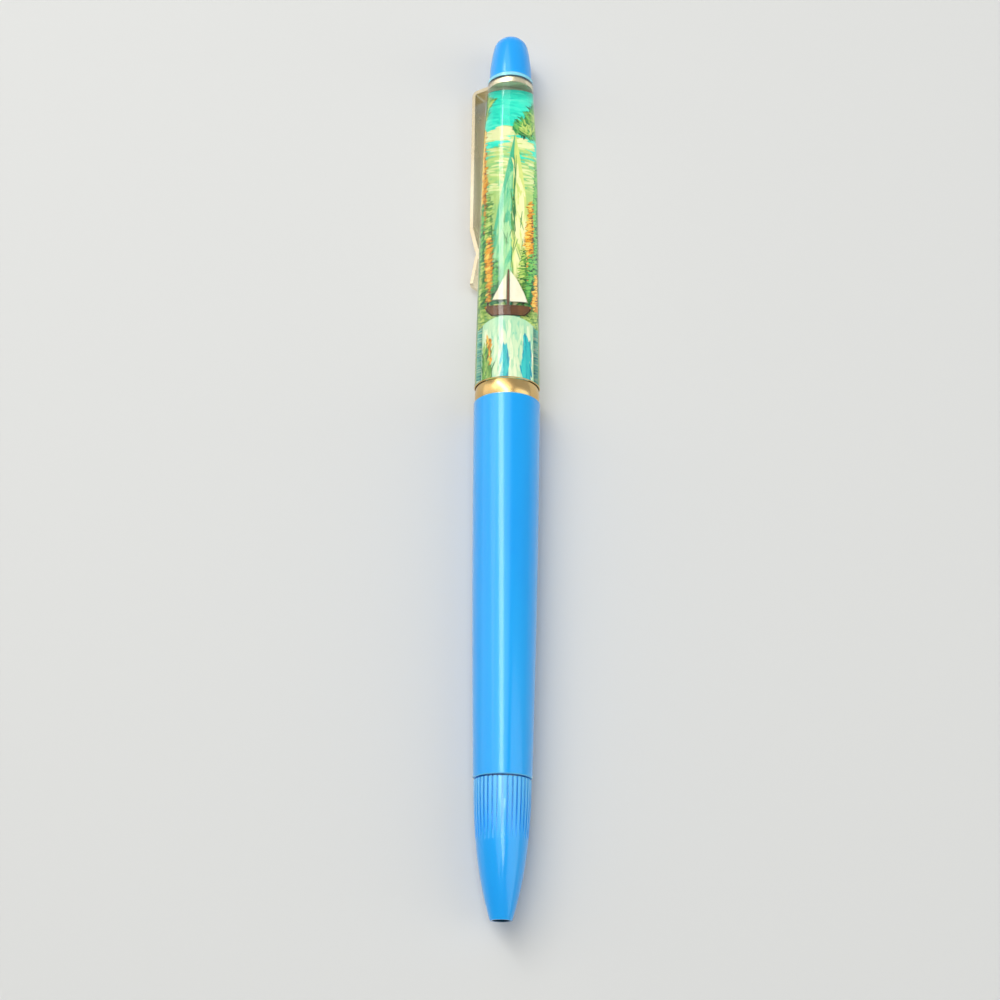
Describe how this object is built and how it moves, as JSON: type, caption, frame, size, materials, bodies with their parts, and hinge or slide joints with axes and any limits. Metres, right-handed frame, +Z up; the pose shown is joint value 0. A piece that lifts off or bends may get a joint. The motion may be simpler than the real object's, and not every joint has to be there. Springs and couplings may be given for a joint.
{
  "type": "floaty pen",
  "caption": "Twist-action ball pen lying flat, with a clear oil-filled scene tube, drifting floater, gold ring, side clip and ribbed grip.",
  "frame": {"origin": "centre of the bounding box at table level", "axes": "+Y along the pen from the nose to the cap, +Z up from the table, +X across the pen with the clip on the -X side"},
  "size_m": [0.0112, 0.14, 0.01],
  "materials": {
    "blue_plastic": "polished",
    "clear_acrylic": "polished",
    "printed_film": "satin",
    "white_acetal": "matte",
    "gilt_clip": "satin",
    "gold_ring": "polished",
    "plain_brass": "satin",
    "bright_steel": "polished"
  },
  "bodies": {
    "pen_body": {"barrel": "blue_plastic", "cam_sleeve": "white_acetal", "centre_ring": "gold_ring", "scene_tube": "clear_acrylic", "bottom_stopper": "white_acetal", "top_stopper": "clear_acrylic", "background_film": "printed_film", "foreground_film": "printed_film", "end_cap": "blue_plastic", "clip": "gilt_clip"},
    "nose": {"nose_cone": "blue_plastic"},
    "refill": {"refill_carrier": "white_acetal", "drive_pin_left": "bright_steel", "drive_pin_right": "bright_steel", "refill_tube": "plain_brass", "refill_point": "bright_steel", "writing_ball": "bright_steel"},
    "boat": {"floater": "printed_film"}
  },
  "joints": [
    {"name": "nose_twist", "type": "hinge", "parent": "pen_body", "child": "nose", "pos_m": [0.00057, -0.06, 0.00498], "axis": [0, 1, 0], "range_deg": [0, 180]},
    {"name": "refill_slide", "type": "slide", "parent": "nose", "child": "refill", "axis": [0, -1, 0], "range_m": [0, 0.005]},
    {"name": "floater_slide", "type": "slide", "parent": "pen_body", "child": "boat", "axis": [0, 1, 0], "range_m": [-0.0117, 0.0304]}
  ],
  "couplings": [
    {"joint": "nose_twist", "follows": "refill_slide", "rad_per_m": 628.31}
  ]
}
